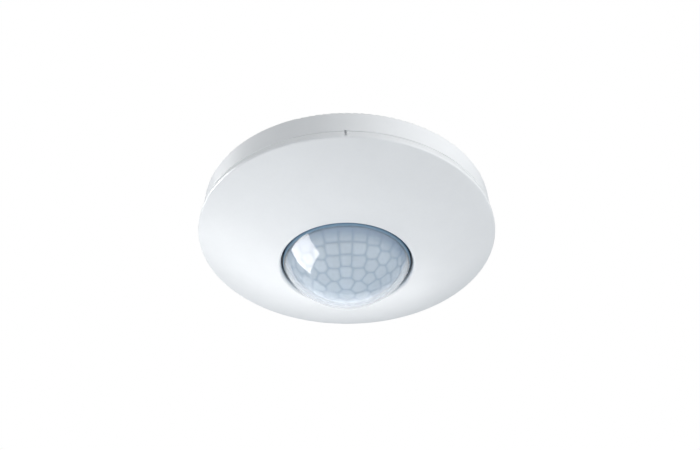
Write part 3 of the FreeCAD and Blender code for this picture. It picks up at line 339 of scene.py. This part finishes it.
def lens_cells():
    """Middle direction of every cell, and a handicap that makes the front cell of a ring narrow."""
    middles, handicaps = [(0.0, 0.0, -1.0)], [0.0]
    for ring, (count, front_span) in enumerate(RINGS):
        phi = math.radians(RING_START + RING_PITCH * (ring + 0.5))
        span = (360.0 - front_span) / (count - 1)
        spacing = math.radians(span + front_span) / 2
        shift = math.sin(phi) * math.radians(span - front_span) / 4
        for k in range(count):
            turn = 0.0 if k == 0 else front_span / 2 + (k - 0.5) * span
            a = math.radians(FRONT + turn)
            middles.append((math.sin(phi) * math.cos(a), math.sin(phi) * math.sin(a), -math.cos(phi)))
            handicaps.append(2 * math.sin(phi) * math.sin(spacing / 2) * shift if k == 0 else 0.0)
    return np.array(middles), np.array(handicaps)


def polar_grid(rings, segments, outer):
    """Unit directions of a dome grid, apex first, with rings of points out to a polar angle."""
    phis = outer * (np.arange(1, rings + 1) / rings)
    azimuths = 2 * np.pi * np.arange(segments) / segments
    p, a = np.meshgrid(phis, azimuths, indexing="ij")
    grid = np.stack([np.sin(p) * np.cos(a), np.sin(p) * np.sin(a), -np.cos(p)], -1).reshape(-1, 3)
    return np.vstack([[[0.0, 0.0, -1.0]], grid])


def dome_faces(rings, segments, flip=False, offset=0):
    """Faces of a polar grid. They point away from the sphere's centre unless flipped."""
    faces = []
    for s in range(segments):
        n = (s + 1) % segments
        faces.append((0, 1 + n, 1 + s))
        for r in range(rings - 1):
            a, b = 1 + r * segments, 1 + (r + 1) * segments
            faces.append((a + s, a + n, b + n, b + s))
    faces = [tuple(offset + i for i in f) for f in faces]
    return [tuple(reversed(f)) for f in faces] if flip else faces


def cell_pattern(directions):
    """For each direction: distance to its cell's middle, groove strength at its border, and a tone."""
    middles, handicaps = lens_cells()
    scores = directions @ middles.T - handicaps
    order = np.argsort(-scores, axis=1)[:, :4]
    rows = np.arange(len(directions))
    own = order[:, 0]
    groove = np.zeros(len(directions))
    for other in order[:, 1:].T:
        gap = np.linalg.norm(middles[own] - middles[other], axis=1)
        border = (scores[rows, own] - scores[rows, other]) / np.maximum(gap, 1e-6)
        groove += np.exp(-(border * CELL_R / GROOVE_WIDTH) ** 2)
    phi = np.arccos(np.clip(-directions[:, 2], -1, 1))
    groove += np.exp(-((CELL_EDGE - phi) * CELL_R / GROOVE_WIDTH) ** 2)
    reach = np.arccos(np.clip(np.sum(directions * middles[own], axis=1), -1.0, 1.0))
    tones = np.random.default_rng(7).random(len(middles))[own]
    return reach, np.clip(groove, 0.0, 1.0), tones


def build_lens_cells():
    """The faceted inner side of the lens: pillow-shaped cells with a groove round each."""
    rings, back_rings, segments = 210, 24, 720
    directions = polar_grid(rings, segments, CELL_EDGE)
    reach, groove, tones = cell_pattern(directions)
    pillow = np.clip(reach / math.radians(RING_PITCH * 0.7), 0, 1) ** 2
    phi = np.arccos(np.clip(-directions[:, 2], -1, 1))
    gate = np.exp(-(phi * CELL_R / GATE_R) ** 2)
    radius = CELL_R - GROOVE_DEPTH * groove - PILLOW * pillow - GATE_DEPTH * gate
    front = directions * radius[:, None]
    back = polar_grid(back_rings, segments, CELL_EDGE) * (CELL_R - CELL_BACK)
    points = np.vstack([front, back]) + np.array(LENS_CENTRE)
    count = len(front)
    faces = dome_faces(rings, segments) + dome_faces(back_rings, segments, flip=True, offset=count)
    last, back_last = 1 + (rings - 1) * segments, count + 1 + (back_rings - 1) * segments
    for s in range(segments):
        n = (s + 1) % segments
        faces.append((last + s, last + n, back_last + n, back_last + s))
    obj = new_mesh("lens_cells", points, faces)
    for label, values in (("cell_reach", reach * CELL_R / MM), ("groove", groove), ("tone", tones)):
        attribute = obj.data.attributes.new(label, "FLOAT", "POINT")
        padded = np.concatenate([values, np.ones(len(back))])
        attribute.data.foreach_set("value", padded.astype(np.float32))
    return obj


def sharpen(obj, degrees):
    """Smooth shading that keeps real edges crisp."""
    limit = math.radians(degrees)
    mesh = obj.data
    normals = [p.normal for p in mesh.polygons]
    users = {}
    for p in mesh.polygons:
        for key in p.edge_keys:
            users.setdefault(key, []).append(p.index)
    for edge in mesh.edges:
        pair = users.get(edge.key, [])
        if len(pair) == 2 and normals[pair[0]].angle(normals[pair[1]], 0.0) > limit:
            edge.use_edge_sharp = True
    return obj


def build_lens_shell():
    """The smooth outer layer of the lens with its collar and mounting flange."""
    flange_top, flange_bottom = lens_hi.z, lens_hi.z - FLANGE_THICK
    flange_r = lens_hi.x
    rings, segments = 120, 360
    reach = math.asin(COLLAR_R / LENS_R)
    outer = polar_grid(rings, segments, reach) * LENS_R
    inner_reach = math.asin((COLLAR_R - COLLAR_WALL) / (LENS_R - CLEAR_WALL))
    inner = polar_grid(rings, segments, inner_reach) * (LENS_R - CLEAR_WALL)
    points = list(map(tuple, np.vstack([outer, inner]) + np.array(LENS_CENTRE)))
    count = len(outer)
    faces = dome_faces(rings, segments) + dome_faces(rings, segments, flip=True, offset=count)
    chain = [(COLLAR_R, flange_bottom + FLANGE_CORNER), (COLLAR_R + FLANGE_CORNER, flange_bottom),
             (flange_r, flange_bottom), (flange_r, flange_top), (COLLAR_R - COLLAR_WALL, flange_top)]
    start = len(points)
    for r, z in chain:
        points += [(r * math.cos(2 * math.pi * s / segments), r * math.sin(2 * math.pi * s / segments), z)
                   for s in range(segments)]
    last = 1 + (rings - 1) * segments
    loops = [last] + [start + k * segments for k in range(len(chain))] + [count + last]
    for a, b in zip(loops, loops[1:]):
        for s in range(segments):
            n = (s + 1) % segments
            faces.append((a + s, a + n, b + n, b + s))
    return sharpen(new_mesh("lens_shell", points, faces), degrees=40.0)


# Painted shade on the lens collar, from the cover's opening lip: lighter next to the cells, darkest at the
# opening
COLLAR_SHADE_AT_OPENING = (0.10, 0.18, 0.27, 1.0)
COLLAR_SHADE_NEAR_CELLS = (0.20, 0.31, 0.42, 1.0)
COLLAR_SHADE_FADE = 1.6 * MM  # height over which the collar's painted shade deepens towards the cover's opening
CELL_SHADE = (0.10, 0.25, 0.41, 1.0)  # painted shade on the cells next to the collar
SHADE_SPAN = math.radians(14.0)  # polar angle over which that painted shade fades out


def shell_material():
    """Clear outer skin: gloss by angle over a pale haze that is thicker at a slant. The collar is solid,
    coloured with painted shade that darkens towards the cover's opening.
    """
    g = Graph("lens_outer_skin")
    wave = g.bump(g.noise(6.0, detail=2.0), 0.010)
    slant = g.node("ShaderNodeLayerWeight", {"Blend": 0.5}).outputs["Facing"]
    tint = g.blend(g.remap(slant, 0.1, 0.9, 0.0, 1.0), (0.97, 0.98, 1.0, 1.0), (0.90, 0.95, 1.0, 1.0))
    clear = g.node("ShaderNodeBsdfTransparent", {"Color": tint}).outputs[0]
    haze = g.node("ShaderNodeBsdfDiffuse", {"Color": (0.81, 0.825, 0.84, 1.0)}).outputs[0]
    patchy = g.remap(g.noise(3.0), 0.3, 0.7, 0.9, 1.1)
    thick = g.maths("MULTIPLY", g.remap(slant, 0.42, 0.82, 0.15, 0.45, smooth=True), patchy)
    height = g.axis(2)
    collar_z = LENS_CENTRE.z - LENS_R * math.cos(CELL_EDGE)
    in_collar = g.remap(height, collar_z - 0.30 * MM, collar_z + 0.05 * MM, 0.0, 1.0, smooth=True)
    # painted shade on the collar, deepening towards the cover's opening
    lip_shade = g.remap(height, collar_z, collar_z + COLLAR_SHADE_FADE, 0.0, 1.0)
    collar = g.node("ShaderNodeBsdfDiffuse", {"Color": g.blend(lip_shade, COLLAR_SHADE_NEAR_CELLS, COLLAR_SHADE_AT_OPENING)})
    body = g.mix_shaders(in_collar, g.mix_shaders(thick, clear, haze), collar.outputs[0])
    fresnel = g.node("ShaderNodeFresnel", {"IOR": 1.5, "Normal": wave}).outputs[0]
    inside = g.node("ShaderNodeNewGeometry").outputs["Backfacing"]
    shine = g.maths("MULTIPLY", fresnel, g.maths("SUBTRACT", 1.0, inside))
    gloss = g.node("ShaderNodeBsdfGlossy", {"Color": (1, 1, 1, 1), "Roughness": 0.05, "Normal": wave})
    return g.finish(g.mix_shaders(shine, body, gloss.outputs[0]))


def cell_material():
    """Milky polyethylene: fine Fresnel rings in every cell, a soft line of painted shade in the grooves
    between cells, and painted shade next to the collar, most of all on the side away from the key lamp."""
    g = Graph("lens_cell_layer")
    reach = g.node("ShaderNodeAttribute", attribute_name="cell_reach").outputs["Fac"]
    groove = g.node("ShaderNodeAttribute", attribute_name="groove").outputs["Fac"]
    tone_value = g.node("ShaderNodeAttribute", attribute_name="tone").outputs["Fac"]
    rings = g.maths("SINE", g.maths("MULTIPLY", reach, 2 * math.pi / FRESNEL_PITCH))
    body = g.blend(tone_value, (0.52, 0.60, 0.640, 1.0), (0.56, 0.64, 0.675, 1.0))
    body = g.blend(g.remap(rings, -1.0, 1.0, 0.0, 0.06), body, (0.36, 0.46, 0.55, 1.0))
    # painted shade in the grooves between cells
    body = g.blend(g.maths("MULTIPLY", groove, 0.8), body, (0.26, 0.37, 0.47, 1.0))
    # painted shade on the cells next to the collar, strongest on the side away from the key lamp
    shade_start = LENS_CENTRE.z - CELL_R * math.cos(CELL_EDGE - SHADE_SPAN)
    shade_end = LENS_CENTRE.z - CELL_R * math.cos(CELL_EDGE)
    near_collar = g.remap(g.axis(2), shade_start, shade_end, 0.0, 0.9, smooth=True)
    away = g.maths("SUBTRACT", g.maths("MULTIPLY", g.axis(0), 0.5), g.axis(1))
    shaded_side = g.remap(away, 0.0, 0.8 * LENS_R, 0.25, 1.0)
    body = g.blend(g.maths("MULTIPLY", near_collar, shaded_side), body, CELL_SHADE)
    return g.finish(g.principled(
        Base_Color=body, Roughness=0.45, Subsurface_Weight=0.2, Subsurface_Scale=0.6,
        Subsurface_Radius=(0.0008, 0.001, 0.0013), Normal=g.bump(rings, 0.012)))


def build_lens():
    shell = build_lens_shell()
    shell.data.materials.append(shell_material())
    place(shell, "base", "lens_plastic", "fresnel_lens")
    cells = build_lens_cells()
    cells.data.materials.append(cell_material())
    place(cells, "base", "lens_plastic", "fresnel_lens")
    return shell, cells


# ------------------------------------------------------------------ stage, light and camera
FLOOR_HALF, FLOOR_Z = 8.0, -0.62
FLOOR_GLOW = (0.535, 0.68)  # near the object, and far behind it
SURROUND = (0.12, 0.27)  # radiance of the studio in front and behind


def build_floor():
    g = Graph("floor_paper")
    base = g.blend(g.noise(60.0, detail=3.0), (0.66, 0.67, 0.68, 1.0), (0.70, 0.71, 0.72, 1.0))
    glow = g.remap(g.axis(1), 0.3, 2.5, *FLOOR_GLOW, smooth=True)
    material = g.finish(g.principled(
        Base_Color=base, Roughness=0.7, Emission_Color=base, Emission_Strength=glow,
        Normal=g.bump(g.noise(3.0), 0.05)))
    half, z = FLOOR_HALF, FLOOR_Z
    floor = new_mesh("floor", [(-half, -half, z), (half, -half, z), (half, half, z), (-half, half, z)],
                     [(0, 1, 2, 3)], smooth=False)
    floor.data.materials.append(material)


def area_light(name, stand, size, radiance, roll=0.0):
    """Flat lamp that faces the object and shows a given radiance."""
    light = bpy.data.lights.new(name, "AREA")
    light.shape = "RECTANGLE"
    light.size, light.size_y = size
    light.energy = radiance * math.pi * size[0] * size[1]
    obj = bpy.data.objects.new(name, light)
    bpy.context.scene.collection.objects.link(obj)
    obj.location = stand
    facing = (OBJECT_CENTRE - Vector(stand)).to_track_quat("-Z", "Y")
    obj.rotation_mode = "QUATERNION"
    obj.rotation_quaternion = facing @ Quaternion((0.0, 0.0, 1.0), math.radians(roll))
    return obj


def build_world():
    """White studio: the camera sees plain white. The surround is bright behind and dim in front."""
    world = bpy.data.worlds.new("studio")
    bpy.context.scene.world = world
    world.use_nodes = True
    tree = world.node_tree
    tree.nodes.clear()

    def node(kind, **settings):
        made = tree.nodes.new(kind)
        for key, value in settings.items():
            setattr(made, key, value)
        return made

    direction = node("ShaderNodeSeparateXYZ")
    tree.links.new(node("ShaderNodeTexCoord").outputs["Generated"], direction.inputs[0])
    behind = node("ShaderNodeMapRange", interpolation_type="SMOOTHSTEP")
    tree.links.new(direction.outputs["Y"], behind.inputs["Value"])
    front, rear = SURROUND
    for key, value in (("From Min", -0.1), ("From Max", 0.75), ("To Min", front), ("To Max", rear)):
        behind.inputs[key].default_value = value
    lit = node("ShaderNodeBackground")
    lit.inputs["Color"].default_value = (0.80, 0.91, 1.0, 1)
    tree.links.new(behind.outputs["Result"], lit.inputs["Strength"])
    seen = node("ShaderNodeBackground")
    seen.inputs["Color"].default_value = (1, 1, 1, 1)
    path = node("ShaderNodeLightPath")
    mix = node("ShaderNodeMixShader")
    tree.links.new(path.outputs["Is Camera Ray"], mix.inputs[0])
    tree.links.new(lit.outputs[0], mix.inputs[1])
    tree.links.new(seen.outputs[0], mix.inputs[2])
    tree.links.new(mix.outputs[0], node("ShaderNodeOutputWorld").inputs["Surface"])


RIM_Z = -12.2 * MM  # height of the cover's widest line
CAMERA_RANGE = 0.330
CAMERA_BELOW = math.radians(38.68)  # how far below the ceiling plane's level the camera looks up from
FOCAL, SENSOR = 46.30, 36.0
VIEW_SHIFT = (0.0046, 0.0233)  # of the picture's width: puts the cover a little left of and below the middle


def build_camera():
    data = bpy.data.cameras.new("camera")
    data.sensor_width = SENSOR
    data.lens = FOCAL
    data.clip_start, data.clip_end = 0.01, 20.0
    data.shift_x, data.shift_y = VIEW_SHIFT
    cam = bpy.data.objects.new("camera", data)
    bpy.context.scene.collection.objects.link(cam)
    towards = Vector((0.0, -math.cos(CAMERA_BELOW), -math.sin(CAMERA_BELOW)))
    stand = Vector((0.0, 0.0, RIM_Z)) + towards * CAMERA_RANGE
    facing = (-towards).to_track_quat("-Z", "Y").to_matrix().to_4x4()
    cam.matrix_world = Matrix.Translation(stand) @ facing
    bpy.context.scene.camera = cam


def only_on(light, *receivers, through_cover=False):
    """The light falls on these objects only. Through the cover, nothing else shades them either."""
    chosen = bpy.data.collections.new(light.name + "_receivers")
    for obj in receivers:
        chosen.objects.link(obj)
    light.light_linking.receiver_collection = chosen
    if through_cover:
        light.light_linking.blocker_collection = chosen


OBJECT_CENTRE = Vector((0.0, 0.0, -0.02))
# Each lamp: where it stands, its width and height, the radiance it shows, and its roll in degrees
LAMPS = {
    "key_left": ((-0.730, -0.006, -0.327), (0.626, 0.533), 1.25, -11.0),
    "low_back": ((-0.19, 0.75, -0.45), (1.2, 0.5), 1.45, 0.0),
    "wall_right": ((0.713, -0.463, 0.42), (0.8, 0.4), 8.9, 0.0),
    "wall_left": ((-0.825, 0.18, 0.42), (0.4, 0.4), 12.2, 0.0),
    "lens_fill": ((0.30, -0.60, -0.35), (1.1, 0.5), 1.35, 0.0),
}
MIRRORED_TINT = (1.0, 0.95, 0.92)
# Lamps that are only seen mirrored in the lens
MIRRORED = {
    "key_glint": ((-0.715, -0.006, -0.321), (0.626, 0.533), 10.0, -11.0),
    "back_glint": ((0.0, 0.80, -0.20), (1.2, 0.50), 0.7, 0.0),
    "back_glint_low": ((0.0, 0.78, -0.14), (0.9, 0.30), 0.5, 0.0),
    "back_glint_high": ((0.0, 0.84, 0.36), (2.6, 0.75), 0.8, 0.0),
}


def build_lights(*lens):
    lamps = {name: area_light(name, *row) for name, row in LAMPS.items()}
    for name in ("key_left", "lens_fill", "wall_right"):
        lamps[name].visible_glossy = False
    only_on(lamps["lens_fill"], *lens, NODES["lens_retainer"], through_cover=True)
    for name, row in MIRRORED.items():
        mirrored = area_light(name, *row)
        mirrored.visible_diffuse = False
        mirrored.data.color = MIRRORED_TINT
        only_on(mirrored, *lens)


dress_cad_nodes()
lens = build_lens()
build_floor()
build_world()
build_camera()
build_lights(*lens)
view = bpy.context.scene.view_settings
view.view_transform = "Standard"
view.look = "None"
